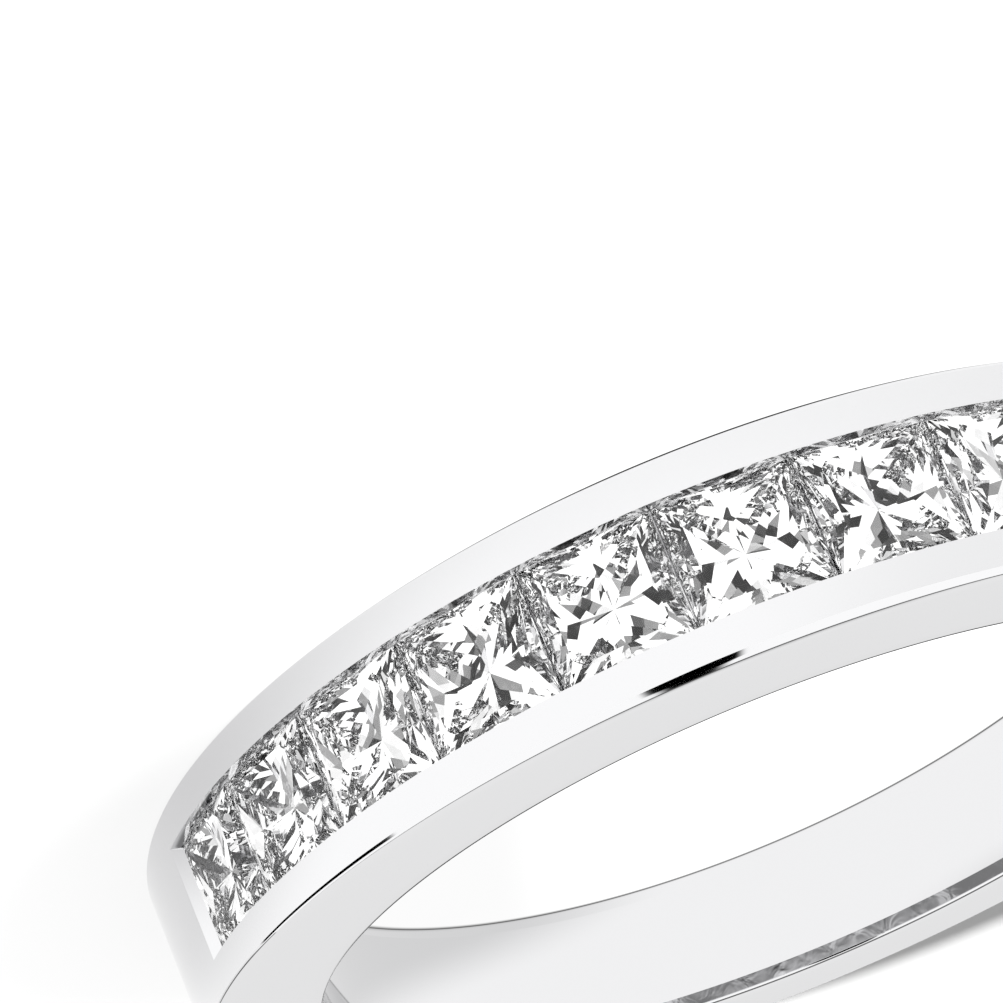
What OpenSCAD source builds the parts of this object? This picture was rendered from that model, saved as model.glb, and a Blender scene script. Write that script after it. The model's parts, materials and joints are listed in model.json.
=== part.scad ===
// Channel set ring: a tapering band with eleven square cut stones in a channel over its front half.
// The origin is the middle of the finger hole. The ring lies on one side, +Z is up from that side,
// and the middle stone faces -Y. All sizes are in millimetres.

/* [Finger hole] */
// Radius of the finger hole
bore_r = 8.5; // [7.5:0.05:10]
// Bevel along both edges of the finger hole
bore_bevel = 0.14; // [0.06:0.01:0.2]

/* [Band] */
// Thickness of the band at the middle stone, from the finger hole to the top of the rails
front_t = 2.66; // [2.6:0.01:3]
// Thickness of the band at the back of the finger
back_t = 1.68; // [1.4:0.01:2]
// Width of the band at the middle stone
front_w = 3.83; // [3.6:0.01:4.4]
// Width of the band at the back of the finger
back_w = 2.42; // [2:0.01:3.4]
// Flat bevel along both outer edges
outer_bevel = 0.11; // [0.06:0.01:0.16]

/* [Channel] */
// Opening between the rails at the middle stone
channel_w = 2.31; // [2.1:0.01:2.5]
// How much each rail comes in for each millimetre back from the middle stone
channel_slope = 0.0113; // [0:0.0001:0.02]
// How far the rails and the channel's ends reach over the edge of a stone
tuck = 0.06; // [0.03:0.005:0.07]
// Running gap between a stone and its seat
seat_gap = 0.03; // [0.02:0.005:0.04]
// Height of the rails' lower edge above the girdle at the middle of a stone
lip_gap = 0.15; // [0.15:0.005:0.18]

/* [Stones] */
// Gap between neighbouring stones
stone_gap = 0.04; // [0.02:0.005:0.06]
// Depth of the tables below the top of the rails
table_drop = 0.12; // [0.1:0.01:0.2]
// Table's half width, as a share of a stone's half width
table_share = 0.72; // [0.6:0.01:0.76]
// Crown height, as a share of a stone's half width
crown_share = 0.18; // [0.14:0.01:0.2]
// Girdle thickness, as a share of a stone's half width
girdle_share = 0.04; // [0.02:0.01:0.06]

/* [Hidden] */
$fn = 180;

// Colours of the rhodium bright white gold and of the stones
metal_colour = [0.86, 0.87, 0.88];
stone_colour = [0.93, 0.96, 1];

// Stones on each side of the middle one
side_stones = 5;
// Space that a cutting solid keeps past the face that it cuts
margin = 1;

// The outside is a circle set forward of the finger hole, so the band is thicker at the front
outer_r = bore_r + (front_t + back_t) / 2;
offset_y = (front_t - back_t) / 2;
front_y = offset_y + outer_r;

// Each side of the band is a flat face that leans by lean degrees from the plane of the ring
lean = atan((front_w - back_w) / 2 / (2 * outer_r));
// Half the band's width at a height up towards the middle stone
function band_half(up) = back_w / 2 + tan(lean) * (up - offset_y + outer_r);
// Half the channel's opening at the same height
function channel_half(up) = channel_w / 2 - channel_slope * (front_y - up);

// Radius of the girdle's lower edge, about the outer circle's middle
middle_half = channel_half(front_y) + tuck;
girdle_r = outer_r - table_drop - (crown_share + girdle_share) * middle_half;
middle_pitch = 2 * atan((middle_half + stone_gap / 2) / girdle_r);

// Half width of the stone k places from the middle one: the channel there, and the tuck
function stone_half(k) = channel_half(offset_y + girdle_r * cos(k * middle_pitch)) + tuck;
// Half of the angle that the stone takes along the band
function half_angle(k) = atan((stone_half(k) + stone_gap / 2) / girdle_r);
// Angle from the middle stone to the stone k places from it
function stone_angle(k) = k == 0 ? 0 : stone_angle(k - 1) + half_angle(k - 1) + half_angle(k);

// The seats end past the last stone, and the opening ends over its edge
seat_end = stone_angle(side_stones) + half_angle(side_stones) + atan((seat_gap - stone_gap / 2) / girdle_r);
open_end = seat_end - atan((tuck + seat_gap) / girdle_r);
lip_r = girdle_r + girdle_share * middle_half + lip_gap;

// Chevrons of the pavilion from the girdle to the culet: share of the half width that each steps
// inward, angle of its facets in degrees
CHEVRONS = [
    [0.18, 63],
    [0.18, 54],
    [0.19, 47],
    [0.20, 42],
    [0.25, 39]
];
// Distance from the stone's axis, and depth under the girdle, after the first n chevrons
function chevron_in(n) = n == 0 ? 1 : chevron_in(n - 1) - CHEVRONS[n - 1][0];
function chevron_depth(n) = n == 0 ? 0 : chevron_depth(n - 1) + CHEVRONS[n - 1][0] * tan(CHEVRONS[n - 1][1]);
pavilion_share = chevron_depth(len(CHEVRONS));

// Floor of the channel, just below the culets, and half its width there
floor_r = girdle_r - pavilion_share * middle_half - 2 * seat_gap;
floor_half = 0.34 * middle_half;

// Lays the ring on its lower side face
module laid_down() {
    rotate([-lean, 0, 0]) children();
}

// Puts a child on one side face of the band, on the axis at forward y, with +Z out of the face
module on_side(side, forward) {
    translate([0, -forward, side * band_half(forward)])
        rotate([-side * lean, 0, 0])
            mirror([0, 0, side < 0 ? 1 : 0])
                children();
}

// Everything below one side face, with the outer bevel at its rim
module side_blank() {
    rim = outer_r + margin;
    deep = 2 * front_w;
    rotate_extrude()
        polygon([[0, -deep], [rim, -deep], [rim, -outer_bevel - margin], [outer_r - outer_bevel, 0], [0, 0]]);
}

// Cone that bevels one edge of the finger hole
module bore_edge() {
    translate([0, 0, -bore_bevel - margin])
        cylinder(h = bore_bevel + 2 * margin, r1 = bore_r - margin, r2 = bore_r + bore_bevel + margin);
}

// Slab with the channel's leaning walls, its sides moved out by extra
module channel_slab(extra) {
    ahead = front_y + margin;
    near_half = channel_half(ahead) + extra;
    far_half = channel_half(0) + extra;
    rotate([90, 0, 90])
        linear_extrude(height = 4 * outer_r, center = true)
            polygon([[-ahead, -near_half], [0, -far_half], [0, far_half], [-ahead, near_half]]);
}

// Sector of a turned profile, as far as angle on both sides of the middle stone
module sector(angle) {
    translate([0, -offset_y, 0])
        rotate([0, 0, -90 - angle])
            rotate_extrude(angle = 2 * angle)
                children();
}

// Opening between the rails, from the top of the seats to past the rails
module channel_opening() {
    intersection() {
        sector(open_end)
            translate([lip_r - seat_gap, -front_w / 2])
                square([outer_r + margin - lip_r + seat_gap, front_w]);
        channel_slab(0);
    }
}

// Groove for the girdles, and the trough under it for the pavilions
module channel_seat() {
    seat_half = middle_half + seat_gap;
    shoulder_r = girdle_r - seat_gap;
    intersection() {
        sector(seat_end)
            polygon([
                [floor_r, -floor_half], [shoulder_r, -seat_half], [lip_r, -seat_half],
                [lip_r, seat_half], [shoulder_r, seat_half], [floor_r, floor_half]
            ]);
        channel_slab(tuck + seat_gap);
    }
}

// Band: rails, ends and shank are one cast and polished piece
module band() {
    color(metal_colour)
        laid_down()
            difference() {
                intersection() {
                    translate([0, -offset_y, -front_w])
                        cylinder(h = 2 * front_w, r = outer_r);
                    on_side(1, offset_y) side_blank();
                    on_side(-1, offset_y) side_blank();
                }
                translate([0, 0, -front_w])
                    cylinder(h = 2 * front_w, r = bore_r);
                on_side(1, 0) bore_edge();
                on_side(-1, 0) bore_edge();
                channel_opening();
                channel_seat();
            }
}

// Corners of a stone of half width 1, one level after another. Side s faces +X, +Y, -X and -Y in turn
function turned(p, s) = [
    p[0] * cos(90 * s) - p[1] * sin(90 * s),
    p[0] * sin(90 * s) + p[1] * cos(90 * s),
    p[2]
];
table_z = girdle_share + crown_share;
break_in = 0.87;
break_z = girdle_share + 0.58 * crown_share;
table_cut = 0.85 * table_share;
chevron_count = len(CHEVRONS);
cut_points = concat(
    [for (s = [0:3]) turned([table_share, -table_cut, table_z], s)],
    [for (s = [0:3]) turned([table_share, table_cut, table_z], s)],
    [for (s = [0:3]) turned([break_in, 0, break_z], s)],
    [for (s = [0:3]) turned([1, 1, girdle_share], s)],
    [for (s = [0:3]) turned([1, 1, 0], s)],
    [for (n = [1:chevron_count - 1], s = [0:3]) turned([chevron_in(n), 0, -chevron_depth(n)], s)],
    [[0, 0, -pavilion_share]]
);
// Where each level starts in the list of corners
table_low = 0;
table_high = 4;
crown_break = 8;
girdle_top = 12;
girdle_low = 16;
chevrons = 20;
culet = 20 + 4 * (chevron_count - 1);
// The next side, and the one before
function next(s) = (s + 1) % 4;
function last(s) = (s + 3) % 4;
cut_faces = concat(
    [[for (s = [3:-1:0], level = [table_high, table_low]) level + s]],
    [for (s = [0:3]) [table_low + s, table_high + s, crown_break + s]],
    [for (s = [0:3]) [table_high + s, girdle_top + s, crown_break + s]],
    [for (s = [0:3]) [table_low + s, crown_break + s, girdle_top + last(s)]],
    [for (s = [0:3]) [crown_break + s, girdle_top + s, girdle_top + last(s)]],
    [for (s = [0:3]) [table_high + s, table_low + next(s), girdle_top + s]],
    [for (s = [0:3]) [girdle_top + s, girdle_low + s, girdle_low + last(s), girdle_top + last(s)]],
    [for (s = [0:3]) [girdle_low + s, chevrons + s, girdle_low + last(s)]],
    [for (n = [0:chevron_count - 3], s = [0:3])
        [girdle_low + s, chevrons + 4 * (n + 1) + s, chevrons + 4 * n + s]],
    [for (n = [0:chevron_count - 3], s = [0:3])
        [girdle_low + last(s), chevrons + 4 * n + s, chevrons + 4 * (n + 1) + s]],
    [for (s = [0:3]) [girdle_low + s, culet, culet - 4 + s]],
    [for (s = [0:3]) [girdle_low + last(s), culet - 4 + s, culet]]
);

// One square cut stone in its seat, k places from the middle one, the photographed end first
module stone(k) {
    color(stone_colour)
        laid_down()
            translate([0, -offset_y, 0])
                rotate([0, 0, sign(k) * stone_angle(abs(k))])
                    translate([0, -girdle_r, 0])
                        rotate([90, 0, 0])
                            scale(stone_half(abs(k)))
                                polyhedron(points = cut_points, faces = cut_faces);
}

band();
stone(5);  // stone_01
stone(4);  // stone_02
stone(3);  // stone_03
stone(2);  // stone_04
stone(1);  // stone_05
stone(0);  // stone_06
stone(-1);  // stone_07
stone(-2);  // stone_08
stone(-3);  // stone_09
stone(-4);  // stone_10
stone(-5);  // stone_11
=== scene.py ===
import bpy
import json
import math
from mathutils import Matrix, Vector


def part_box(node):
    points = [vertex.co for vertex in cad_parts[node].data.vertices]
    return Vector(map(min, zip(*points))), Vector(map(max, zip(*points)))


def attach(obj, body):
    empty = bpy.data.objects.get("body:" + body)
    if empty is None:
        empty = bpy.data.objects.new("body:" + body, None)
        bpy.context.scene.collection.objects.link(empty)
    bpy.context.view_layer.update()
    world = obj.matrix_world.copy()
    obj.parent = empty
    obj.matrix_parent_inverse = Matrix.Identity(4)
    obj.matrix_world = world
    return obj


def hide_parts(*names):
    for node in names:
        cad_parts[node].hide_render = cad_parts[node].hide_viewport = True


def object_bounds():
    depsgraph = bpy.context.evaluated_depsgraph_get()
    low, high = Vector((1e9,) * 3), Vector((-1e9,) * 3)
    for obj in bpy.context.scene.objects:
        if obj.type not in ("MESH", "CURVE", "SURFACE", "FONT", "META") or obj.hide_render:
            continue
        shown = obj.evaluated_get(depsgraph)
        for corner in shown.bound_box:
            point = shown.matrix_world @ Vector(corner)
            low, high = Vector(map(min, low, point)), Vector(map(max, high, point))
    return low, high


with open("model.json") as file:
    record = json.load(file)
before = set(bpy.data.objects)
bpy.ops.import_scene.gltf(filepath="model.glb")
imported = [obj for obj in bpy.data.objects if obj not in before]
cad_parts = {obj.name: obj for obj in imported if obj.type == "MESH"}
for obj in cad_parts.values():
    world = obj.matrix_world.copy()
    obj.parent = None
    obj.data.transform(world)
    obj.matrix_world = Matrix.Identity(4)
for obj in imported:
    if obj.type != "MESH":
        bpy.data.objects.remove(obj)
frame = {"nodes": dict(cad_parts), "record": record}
cad_low, cad_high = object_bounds()

# Band
# The real band is one casting of 18 carat white gold: two rails, a closed end at each side of the
# stones, and a shank that gets narrower and thinner to the back. It is filed, polished to a mirror
# and plated with rhodium. Here a turned ring is leant on both sides, bevelled and cut out.
mm = 0.001
finger_hole = {mount["name"]: mount for mount in frame["record"]["mounts"]}["finger_hole"]
bore_r = finger_hole["dims"]["r_mm"] * mm
lean = math.atan2(finger_hole["axis"][1], finger_hole["axis"][2])
band_low, band_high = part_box("band")
outer_r = (band_high.x - band_low.x) / 2
offset = 0.49 * mm
middle_half = -band_low.z / math.cos(lean)
flare_wide = 0.1 * mm
flare_round = 0.035 * mm
roll_wide = 0.45 * mm
roll_deep = 0.008 * mm
steps = 720
near = 0.01 * mm
touching = 0.001 * mm
weld = 0.0001 * mm


def deselect():
    bpy.ops.object.select_all(action="DESELECT")


def edit(piece, action="SELECT"):
    deselect()
    piece.select_set(True)
    bpy.context.view_layer.objects.active = piece
    bpy.ops.object.mode_set(mode="EDIT")
    bpy.ops.mesh.select_all(action=action)


def done():
    bpy.ops.object.mode_set(mode="OBJECT")


def pick(piece, wanted, kind="VERT"):
    """Selects the vertices, or the edges by both ends, that pass the test. Edit mode stays on."""
    edit(piece, "DESELECT")
    bpy.ops.mesh.select_mode(type=kind)
    done()
    passed = [wanted(vertex.co) for vertex in piece.data.vertices]
    if kind == "VERT":
        piece.data.vertices.foreach_set("select", passed)
    else:
        for edge in piece.data.edges:
            edge.select = passed[edge.vertices[0]] and passed[edge.vertices[1]]
    bpy.ops.object.mode_set(mode="EDIT")


def settle(piece):
    """Applies the piece's place, so that its object is at the origin."""
    deselect()
    piece.select_set(True)
    bpy.context.view_layer.objects.active = piece
    bpy.ops.object.transform_apply(location=True, rotation=True, scale=True)


def turned(name, corners, angle, count, middle):
    """Turns a flat profile of (radius, height) corners about the ring's axis."""
    deselect()
    fill = "NGON" if angle < 2 * math.pi else "NOTHING"
    bpy.ops.mesh.primitive_circle_add(vertices=len(corners), fill_type=fill, location=(0, 0, 0))
    piece = bpy.context.object
    piece.name = name
    for vertex, (r, z) in zip(piece.data.vertices, corners):
        vertex.co = (math.sin(angle / 2) * r, -math.cos(angle / 2) * r + middle, z)
    edit(piece)
    bpy.ops.mesh.spin(steps=count, angle=angle, center=(0, middle, 0), axis=(0, 0, 1))
    bpy.ops.mesh.select_all(action="SELECT")
    bpy.ops.mesh.remove_doubles(threshold=weld)
    bpy.ops.mesh.normals_make_consistent(inside=False)
    done()
    return piece


# Profile of one edge of the finger hole, from the side face inwards
# Each corner is given by its distance out from the hole and its depth below the side face.
flare = (0.5 * mm, 0), (0.22 * mm, 0.007 * mm), (flare_wide, 0.0185 * mm), (0, 0.26 * mm)
roll_r = outer_r - roll_wide
band = turned("polished_band", (
    *[(bore_r + out, down - middle_half) for out, down in reversed(flare)],
    (roll_r, -middle_half), (outer_r, -middle_half), (outer_r, middle_half), (roll_r, middle_half),
    *[(bore_r + out, middle_half - down) for out, down in flare]
), 2 * math.pi, steps, 0)
halfway_r = (bore_r + outer_r) / 2
pick(band, lambda at: math.hypot(at.x, at.y) > halfway_r)
bpy.ops.transform.translate(value=(0, -offset, 0))
done()
for side in (1, -1):
    pick(band, lambda at: at.z * side > 0)
    bpy.ops.transform.resize(value=(1, 1 / math.cos(lean), 1), center_override=(0, 0, 0))
    bpy.ops.transform.rotate(
        value=side * lean, orient_axis="X", center_override=(0, 0, side * middle_half)
    )
    done()
flare_r = bore_r + flare_wide
for side in (1, -1):
    pick(band, lambda at: at.z * side > 0 and abs(math.hypot(at.x, at.y) - flare_r) < near, "EDGE")
    bpy.ops.mesh.bevel(offset=flare_round, offset_type="OFFSET", segments=4, profile=0.5)
    done()

# The outer bevels are at full width up to 8 degrees from the middle stone
# Over the next 60 degrees they lose three quarters of it.
full_degrees = 8
narrowing_degrees = 60
narrowing_share = 0.76
outer_bevel = 0.13 * mm
roll_round = 0.06 * mm
rim_reach = 0.3 * mm


def narrowing_bevel(piece, wanted, width, profile):
    """Bevels the edges whose ends pass the test, at full width by the stones, less to the back."""
    weights = piece.data.attributes.get("bevel_weight_edge")
    if weights is None:
        weights = piece.data.attributes.new("bevel_weight_edge", "FLOAT", "EDGE")
    for edge in piece.data.edges:
        start, end = [piece.data.vertices[index].co for index in edge.vertices]
        turn = math.degrees(abs(math.atan2(start.x, -start.y - offset)))
        narrowed = min(max((turn - full_degrees) / narrowing_degrees, 0), 1)
        chosen = wanted(start) and wanted(end) and start.z * end.z > 0
        weights.data[edge.index].value = (1 - narrowing_share * narrowed) * chosen
    bevel = piece.modifiers.new("bevel", "BEVEL")
    bevel.limit_method = "WEIGHT"
    bevel.width = width
    bevel.segments = 2
    bevel.profile = profile
    bpy.context.view_layer.objects.active = piece
    bpy.ops.object.modifier_apply(modifier=bevel.name)


def from_middle(at):
    """Distance from the axis of the band's outer circle."""
    return math.hypot(at.x, at.y + offset)


def on_rim(at):
    """True on the outer border of a side face, once its corner is bevelled."""
    on_side = abs(abs(at.z) - middle_half + math.tan(lean) * at.y) < touching
    return on_side and from_middle(at) > outer_r - rim_reach


def spot(at):
    """The place rounded to a ten thousandth of a millimetre, so that it can be found again."""
    return tuple(round(c, 7) for c in at)


narrowing_bevel(band, lambda at: abs(from_middle(at) - outer_r) < near, outer_bevel, profile=0.31)
rim = [on_rim(vertex.co) for vertex in band.data.vertices]
for side in (1, -1):
    pick(band, lambda at: on_rim(at) and at.z * side > 0)
    bpy.ops.transform.translate(value=(0, 0, -side * roll_deep))
    done()
rolled = {spot(vertex.co) for vertex, found in zip(band.data.vertices, rim) if found}
narrowing_bevel(band, lambda at: spot(at) in rolled, roll_round, profile=0.82)

# Channel between the rails, with grooves for the girdles and a trough for the stones' points
channel_half = 1.155 * mm
channel_slope = 0.0113
tuck = 0.06 * mm
seat_gap = 0.03 * mm
stone_half = channel_half + tuck
groove_half = stone_half + seat_gap
stone_below = 0.12 * mm
crown_high = 0.22 * stone_half
girdle_thick = 0.04 * stone_half
groove_room = 0.15 * mm
trough_deep = 1.24 * stone_half
trough_half = 0.34 * stone_half
girdle_r = outer_r - stone_below - crown_high
lip_r = girdle_r + girdle_thick + groove_room
trough_r = girdle_r - trough_deep
seat_end = math.radians(73.5)
open_end = seat_end - (tuck + seat_gap) / girdle_r
end_slope = math.radians(30)
end_margin = 0.0001
cut_deep = 0.15 * mm
cut_slope = math.radians(18)
cut_in = cut_deep * math.tan(cut_slope)
past_top = 2 * mm


def ends_lean(cutter):
    """Leans a cutter's ends about the rails' top, so that the channel's end walls open outwards."""
    reach = sorted({round(from_middle(vertex.co), 7) for vertex in cutter.data.vertices})
    for side in (1, -1):
        for r in reach:
            pick(cutter, lambda at: abs(from_middle(at) - r) < touching
                 and side * math.atan2(at.x, -at.y - offset) > open_end - end_margin)
            drawn = (r - outer_r) * math.tan(end_slope)
            bpy.ops.transform.translate(
                value=(side * math.cos(open_end) * drawn, math.sin(open_end) * drawn, 0)
            )
            done()
    return cutter


def walls_lean(cutter):
    """Leans a cutter's upper and lower halves, as the channel's walls close in to the back."""
    for side in (1, -1):
        pick(cutter, lambda at: at.z * side > 0)
        bpy.ops.transform.rotate(
            value=side * channel_slope, orient_axis="X",
            center_override=(0, -offset - outer_r, side * channel_half)
        )
        done()
    return cutter


def cut_away(piece, cutter):
    cut = piece.modifiers.new("cut", "BOOLEAN")
    cut.object = cutter
    cut.operation = "DIFFERENCE"
    cut.solver = "EXACT"
    bpy.context.view_layer.objects.active = piece
    bpy.ops.object.modifier_apply(modifier=cut.name)
    bpy.data.objects.remove(cutter)


cut_away(band, walls_lean(turned("seat", (
    (trough_r, -trough_half), (girdle_r - seat_gap, -groove_half), (lip_r, -groove_half),
    (lip_r, groove_half), (girdle_r - seat_gap, groove_half), (trough_r, trough_half)
), 2 * seat_end, round(steps * seat_end / math.pi), -offset)))
cut_away(band, walls_lean(ends_lean(turned("opening", (
    (lip_r - seat_gap, cut_in - channel_half), (outer_r - cut_deep, cut_in - channel_half),
    (outer_r + past_top, -channel_half - past_top * math.tan(cut_slope)),
    (outer_r + past_top, channel_half), (lip_r - seat_gap, channel_half)
), 2 * open_end, round(steps * open_end / math.pi), -offset))))

# The flare at the upper edge of the finger hole takes the second finish, which is burnished and
# painted darker as shade
steep = 0.6
for face in band.data.polygons:
    out = math.hypot(face.center.x, face.center.y) - bore_r
    on_flare = near < out < flare_wide - near and abs(face.normal.z) < steep
    face.material_index = on_flare and face.center.z > 0
band.rotation_euler = (-lean, 0, 0)
settle(band)
bpy.ops.object.shade_smooth_by_angle(angle=math.radians(20))
# Faces a few hundredths of a millimetre wide are too small to be weighed, so the ring is enlarged
band.scale = (1 / mm, 1 / mm, 1 / mm)
settle(band)
weighted = band.modifiers.new("flat_faces", "WEIGHTED_NORMAL")
weighted.keep_sharp = True
weighted.thresh = 0
bpy.ops.object.modifier_apply(modifier=weighted.name)
band.scale = (mm, mm, mm)
settle(band)
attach(band, "root")
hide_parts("band")


def add(tree, kind, settings=(), links=()):
    """Adds one node, sets its sockets or properties, and links its inputs to the outputs given."""
    new = tree.nodes.new(kind)
    for key, value in dict(settings).items():
        if isinstance(key, int) or key in new.inputs:
            new.inputs[key].default_value = value
        else:
            setattr(new, key, value)
    for key, output in dict(links).items():
        tree.links.new(new.inputs[key], output)
    return new


def srgb(code):
    """Turns a hex colour into linear light."""
    parts = [int(code[i:i + 2], 16) / 255 for i in (1, 3, 5)]
    return [c / 12.92 if c <= 0.04045 else ((c + 0.055) / 1.055) ** 2.4 for c in parts] + [1]


# Rhodium plate is a cool grey white that keeps every reflection sharp
# A polishing wheel leaves a haze too fine to show, so it is drawn half a millimetre wide.
# A burnisher is rubbed along the flare by hand, so that finish is softer and a little wavy, and its
# darker tone is painted shade.
haze_size = 0.5 * mm
wave_size = 0.35 * mm
wave_deep = 0.008 * mm


def polished(name, tone, least, most, wave):
    """Rhodium plated gold, with roughness that wanders from least to most and waves this deep."""
    metal = bpy.data.materials.new(name)
    metal.use_nodes = True
    tree = metal.node_tree
    tree.nodes.clear()
    place = add(tree, "ShaderNodeTexCoord").outputs["Object"]
    haze = add(tree, "ShaderNodeTexNoise", {
        "Scale": 1 / haze_size, "Detail": 3.0
    }, {"Vector": place})
    polish = add(tree, "ShaderNodeMapRange", {
        "From Min": 0.3, "From Max": 0.7, "To Min": least, "To Max": most
    }, {"Value": haze.outputs["Fac"]})
    shader = add(tree, "ShaderNodeBsdfPrincipled", {
        "Base Color": srgb(tone), "Metallic": 1.0
    }, {"Roughness": polish.outputs["Result"]})
    if wave:
        waves = add(tree, "ShaderNodeTexNoise", {
            "Scale": 1 / wave_size, "Detail": 2.0, "Distortion": 0.6
        }, {"Vector": place})
        ripple = add(tree, "ShaderNodeBump", {"Distance": wave}, {"Height": waves.outputs["Fac"]})
        tree.links.new(shader.inputs["Normal"], ripple.outputs["Normal"])
    add(tree, "ShaderNodeOutputMaterial", links={"Surface": shader.outputs["BSDF"]})
    return metal


gold = polished(
    "rhodium_plated_white_gold_mirror_polished", "#d4d4d5", least=0.035, most=0.06, wave=0
)
# The burnished copy's darker tone is painted shade; its roughness and waves are the burnished
# finish
burnished_gold_painted_darker = polished(
    "rhodium_plated_white_gold_burnished_painted_shade", "#b8b8ba", least=0.06, most=0.12, wave=wave_deep
)
band.data.materials.append(gold)
band.data.materials.append(burnished_gold_painted_darker)

# Stones
# Eleven square brilliant cut diamonds, cut and polished on a wheel, sit edge to edge with their
# girdles in the grooves of the rails. Their facets are the solids' own, so the nodes stay.

# Diamond is clear and bends light strongly, so each facet shows another part of the tent
# The crystal's growth zones, under half a millimetre wide, dim the light inside by a few percent.
# The specular tint dims the tent in the outer facets, so that the light from inside shows.
growth_size = 0.4 * mm
diamond = bpy.data.materials.new("colourless_diamond_cut_and_polished")
diamond.use_nodes = True
tree = diamond.node_tree
tree.nodes.clear()
place = add(tree, "ShaderNodeTexCoord").outputs["Object"]
growth = add(tree, "ShaderNodeTexNoise", {
    "Scale": 1 / growth_size, "Detail": 2.0
}, {"Vector": place})
body = add(tree, "ShaderNodeMix", {
    "data_type": "RGBA", 6: srgb("#eeeeee"), 7: srgb("#fcfcfc")
}, {0: growth.outputs["Fac"]})
shader = add(tree, "ShaderNodeBsdfPrincipled", {
    "Transmission Weight": 1.0, "Roughness": 0.0, "IOR": 2.417, "Specular Tint": srgb("#7c7c7c")
}, {"Base Color": body.outputs[2]})
add(tree, "ShaderNodeOutputMaterial", links={"Surface": shader.outputs["BSDF"]})
for name, stone in frame["nodes"].items():
    if name.startswith("stone"):
        stone.data.materials.clear()
        stone.data.materials.append(diamond)
bpy.data.objects["band"].data.materials.clear()
bpy.data.objects["band"].data.materials.append(gold)

# Table and studio
# A white table whose glow is painted light and shade, a white light tent with black and grey cards
# in it, and one low lamp at the right of the front that throws the shadow.
deselect()
bpy.ops.mesh.primitive_plane_add(size=3, location=(0, 0, cad_low.z))
table = bpy.context.object
table.name = "table"

# White laminate pressed with a matt film gives an even ground without reflections
# Its glow is painted light: painted pools of light in the finger hole and at the front, and painted
# shade by the ring's right side, behind it and under its rim.
white = bpy.data.materials.new("white_laminate_matt_painted_glow")
white.use_nodes = True
tree = white.node_tree
tree.nodes.clear()
place = add(tree, "ShaderNodeTexCoord").outputs["Object"]


def measured(kind, against, start, end):
    """Light that goes smoothly from one level to another between two distances or places."""
    off = add(tree, "ShaderNodeVectorMath", {"operation": kind, 1: against}, {0: place})
    return add(tree, "ShaderNodeMapRange", {
        "interpolation_type": "SMOOTHSTEP",
        "From Min": start[0], "From Max": end[0], "To Min": start[1], "To Max": end[1]
    }, {"Value": off.outputs["Value"]}).outputs["Result"]


def times(one, other):
    product = add(tree, "ShaderNodeMath", {"operation": "MULTIPLY"}, {0: one, 1: other})
    return product.outputs["Value"]


# Inside the finger hole the ground's glow is a painted pool of light, brighter at its left
painted_pool_in_hole = measured("DISTANCE", (0, 0, 0), (bore_r, 1), (bore_r + 0.14 * mm, 0))
painted_hole_light = measured("DOT_PRODUCT", (1, 0, 0), (1 * mm, 1.33), (4.5 * mm, 0.97))
# Outside, the painted glow has painted shade by the ring's right side, is brighter away from it,
# and has painted shade behind the ring
# Under the ring, out to just inside its rim, the ground is black: a painted contact shadow, in its
# glow and its base colour
painted_dark_to = outer_r - 0.088 * mm
painted_lit_from = outer_r - 0.036 * mm
painted_shade_mask_under_ring = measured("DISTANCE", (0, -offset, 0), (painted_dark_to, 0), (painted_lit_from, 1))
painted_shade_by_right_side = measured("DISTANCE", (8 * mm, 0, 0), (5 * mm, -0.04), (12.5 * mm, 0.4))
painted_dimming_to_left = measured("DOT_PRODUCT", (-1, 0, 0), (-2 * mm, 1), (12 * mm, 0.6))
painted_light_to_front = measured("DOT_PRODUCT", (0, 1, 0), (6 * mm, 1), (9 * mm, 0))
painted_glow_behind_ring = 0.12
laminate_tone = 0.2
painted_outside_glow = add(tree, "ShaderNodeMath", {
    "operation": "MULTIPLY_ADD", 2: painted_glow_behind_ring
}, {0: times(painted_shade_by_right_side, painted_dimming_to_left), 1: painted_light_to_front})
# The glow is painted light: the hole's painted pool inside, the painted light and shade outside
painted_table_glow = add(tree, "ShaderNodeMix", {"data_type": "FLOAT"}, {
    0: painted_pool_in_hole, 2: times(painted_outside_glow.outputs["Value"], painted_shade_mask_under_ring), 3: painted_hole_light
})
# The base colour is painted shade, black under the ring and in the finger hole, so only the painted
# glow shows there
painted_shade_base_under_ring = add(tree, "ShaderNodeMath", {"operation": "MULTIPLY", 1: laminate_tone}, {0: painted_shade_mask_under_ring})
shader = add(tree, "ShaderNodeBsdfPrincipled", {
    "Roughness": 0.8, "Specular IOR Level": 0.0, "Emission Color": srgb("#ffffff")
}, {"Base Color": painted_shade_base_under_ring.outputs["Value"], "Emission Strength": painted_table_glow.outputs[0]})
add(tree, "ShaderNodeOutputMaterial", links={"Surface": shader.outputs["BSDF"]})
table.data.materials.append(white)

world = bpy.data.worlds.new("light_tent")
bpy.context.scene.world = world
world.use_nodes = True
tree = world.node_tree
tree.nodes.clear()
place = add(tree, "ShaderNodeTexCoord").outputs["Generated"]
split = add(tree, "ShaderNodeSeparateXYZ", links={"Vector": place})


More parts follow.
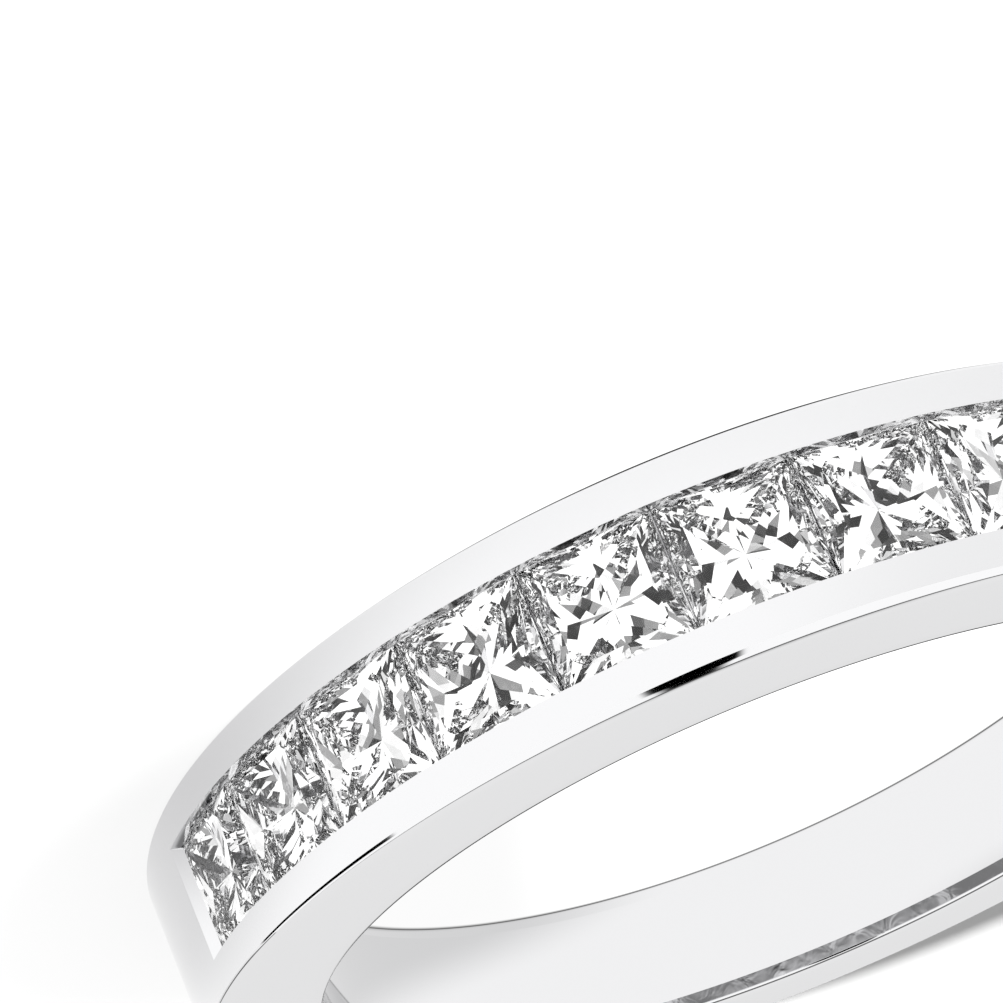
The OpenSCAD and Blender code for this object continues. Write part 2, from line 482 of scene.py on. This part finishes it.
def card(light, shade, soft, sides):
    """Puts a card of a shade before the light. Each side is a direction and its reach that way."""
    mask = None
    for direction, reach in sides:
        across = add(tree, "ShaderNodeVectorMath", {
            "operation": "DOT_PRODUCT", 1: direction
        }, {0: place})
        inside = add(tree, "ShaderNodeMapRange", {
            "interpolation_type": "SMOOTHSTEP", "From Min": reach + soft, "From Max": reach - soft
        }, {"Value": across.outputs["Value"]}).outputs["Result"]
        mask = inside if mask is None else times(mask, inside)
    return add(tree, "ShaderNodeMix", {
        "data_type": "FLOAT", 3: shade
    }, {0: mask, 2: light}).outputs[0]


to_right, to_left = (1, 0, 0), (-1, 0, 0)
to_back, to_front = (0, 1, 0), (0, -1, 0)
upwards, downwards = (0, 0, 1), (0, 0, -1)
black = 0.0
rise = add(tree, "ShaderNodeMapRange", {
    "interpolation_type": "SMOOTHSTEP",
    "From Min": 0.15, "From Max": 0.55, "To Min": 1.03, "To Max": 1.45
}, {"Value": split.outputs["Z"]})
light = rise.outputs["Result"]
# Open front of the tent, with a lit strip at its right, and the camera's dark outline in it
light = card(light, shade=0.36, soft=0.06, sides=(
    (to_right, 0.82), (to_left, 0.5), (to_back, -0.35), (upwards, 0.58)
))
light = card(light, shade=1.1, soft=0.008, sides=(
    (to_right, 0.58), (to_left, -0.54), (to_back, -0.35), (upwards, 0.58)
))
light = card(light, shade=0.02, soft=0.04, sides=(
    (to_right, 0.45), (to_left, 0.3), (to_back, -0.5), (upwards, 0.5)
))
# Black card over the front
light = card(light, shade=black, soft=0.015, sides=(
    ((-0.9996, -0.028, 0), 0.029), ((0.9655, 0.262, 0), 0.109),
    (to_front, 0.65), (to_back, 0.33), (downwards, -0.5)
))
# Black card at the right and behind
light = card(light, shade=black, soft=0.015, sides=(
    ((-0.84, -0.54, 0), -0.632), (downwards, -0.36), (upwards, 0.72),
    (to_left, -0.56), (to_front, -0.05), (to_back, 0.56)
))
# Gap behind, between the low panel and the roof of the tent, and the gap under the panel
light = card(light, shade=0.16, soft=0.03, sides=(
    (to_front, -0.5), (downwards, -0.3), (upwards, 0.47), (to_right, 0.35)
))
light = card(light, shade=0.02, soft=0.03, sides=((to_front, -0.3), (upwards, 0.12)))
background = add(tree, "ShaderNodeBackground", {"Color": srgb("#ffffff")}, {"Strength": light})
add(tree, "ShaderNodeOutputWorld", links={"Surface": background.outputs["Background"]})

lamp_tilt = math.radians(74.1)
lamp_turn = math.radians(27.5)
bpy.ops.object.light_add(type="SUN", rotation=(lamp_tilt, 0, lamp_turn))
lamp = bpy.context.object
lamp.name = "key_lamp"
lamp.data.energy = 40.5
lamp.data.angle = math.radians(1.8)
lamp.visible_glossy = False
lamp.visible_transmission = False

# The camera has a long lens and is 141 mm away, aimed just below the ring and rolled over
camera_distance = 140.9 * mm
camera_azimuth = math.radians(7.26)
camera_elevation = math.radians(20.02)
camera_roll = math.radians(-157.14)
camera_aim = Vector((2.4369, -1.8917, -5.5746)) * mm
picture_wide = 1003
focal_length = 8000
stand = Vector((
    math.sin(camera_azimuth) * math.cos(camera_elevation),
    -math.cos(camera_azimuth) * math.cos(camera_elevation),
    math.sin(camera_elevation),
)) * camera_distance
look = (camera_aim - stand).normalized()
level_right = look.cross(Vector((0, 0, 1))).normalized()
level_up = level_right.cross(look)
up = level_up * math.cos(camera_roll) + level_right * math.sin(camera_roll)
bpy.ops.object.camera_add(location=stand)
camera = bpy.context.object
camera.name = "camera"
camera.rotation_euler = Matrix((look.cross(up), up, -look)).transposed().to_euler()
camera.data.sensor_width = 36
camera.data.lens = focal_length * camera.data.sensor_width / picture_wide
camera.data.clip_start = 10 * mm
camera.data.clip_end = 10
scene = bpy.context.scene
scene.camera = camera
scene.view_settings.view_transform = "Standard"
scene.cycles.max_bounces = 32
scene.cycles.glossy_bounces = 24
scene.cycles.transmission_bounces = 24
scene.cycles.use_denoising = True
